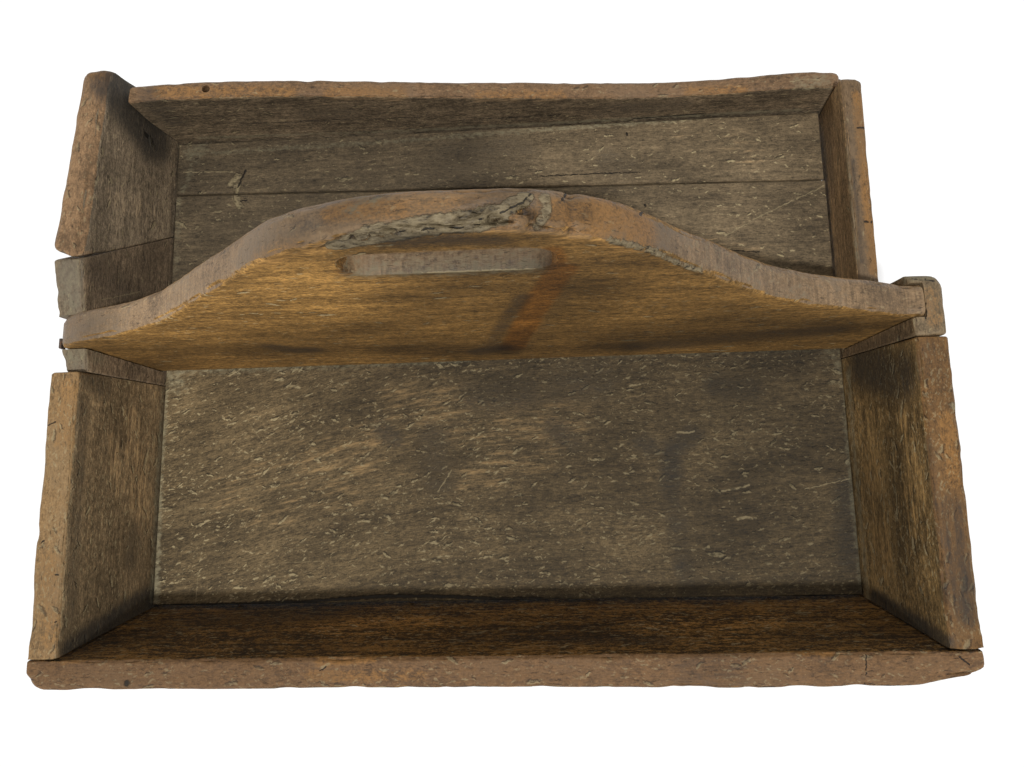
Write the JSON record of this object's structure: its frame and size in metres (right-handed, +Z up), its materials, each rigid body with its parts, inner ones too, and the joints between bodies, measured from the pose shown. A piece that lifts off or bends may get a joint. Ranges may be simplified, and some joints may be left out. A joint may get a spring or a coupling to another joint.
{
  "type": "tool tote",
  "caption": "Old hand-made wooden tote with open compartments either side of a tall ogee handle board with a hand slot, leaning walls and nailed boards.",
  "frame": {"origin": "middle of the floor's underside, between the inner faces of the four walls", "axes": "+X along the tote to the right, +Y from the front wall to the back wall, +Z up"},
  "size_m": [0.5518, 0.4083, 0.2724],
  "materials": {
    "floor_wood": "dry, scratched grey-brown boards",
    "wall_wood": "dark old patina with worn orange-brown rims",
    "end_wood": "dark old patina with worn orange-brown rims",
    "handle_wood": "golden-brown grain, rubbed smooth on top",
    "nail_iron": "rusted dark iron"
  },
  "bodies": {
    "root": {"front_wall": "wall_wood", "back_wall": "wall_wood", "left_end_front": "end_wood", "left_end_middle": "end_wood", "left_end_back": "end_wood", "right_end_front": "end_wood", "right_end_middle": "end_wood", "right_end_back": "end_wood", "handle_board": "handle_wood", "floor_front": "floor_wood", "floor_middle": "floor_wood", "floor_back": "floor_wood", "front_left_nail_1": "nail_iron", "front_left_nail_2": "nail_iron", "front_right_nail_1": "nail_iron", "front_right_nail_2": "nail_iron", "front_floor_nail_1": "nail_iron", "front_floor_nail_2": "nail_iron", "front_floor_nail_3": "nail_iron", "front_floor_nail_4": "nail_iron", "back_floor_nail_1": "nail_iron", "back_floor_nail_2": "nail_iron", "back_floor_nail_3": "nail_iron", "back_floor_nail_4": "nail_iron", "left_end_front_floor_nail_1": "nail_iron", "left_end_front_floor_nail_2": "nail_iron", "left_end_middle_floor_nail_1": "nail_iron", "left_end_middle_floor_nail_2": "nail_iron", "left_end_back_floor_nail_1": "nail_iron", "right_end_front_floor_nail_1": "nail_iron", "right_end_front_floor_nail_2": "nail_iron", "right_end_middle_floor_nail_1": "nail_iron", "right_end_back_floor_nail_1": "nail_iron", "right_end_back_floor_nail_2": "nail_iron", "back_left_nail_1": "nail_iron", "back_left_nail_2": "nail_iron", "back_right_nail": "nail_iron", "handle_right_nail_1": "nail_iron", "handle_right_nail_2": "nail_iron", "handle_left_nail": "nail_iron", "floor_front_handle_nail_1": "nail_iron", "floor_front_handle_nail_2": "nail_iron", "floor_front_handle_nail_3": "nail_iron", "floor_front_handle_nail_4": "nail_iron", "floor_middle_handle_nail_1": "nail_iron", "floor_middle_handle_nail_2": "nail_iron", "floor_middle_handle_nail_3": "nail_iron", "floor_middle_handle_nail_4": "nail_iron"}
  },
  "joints": []
}
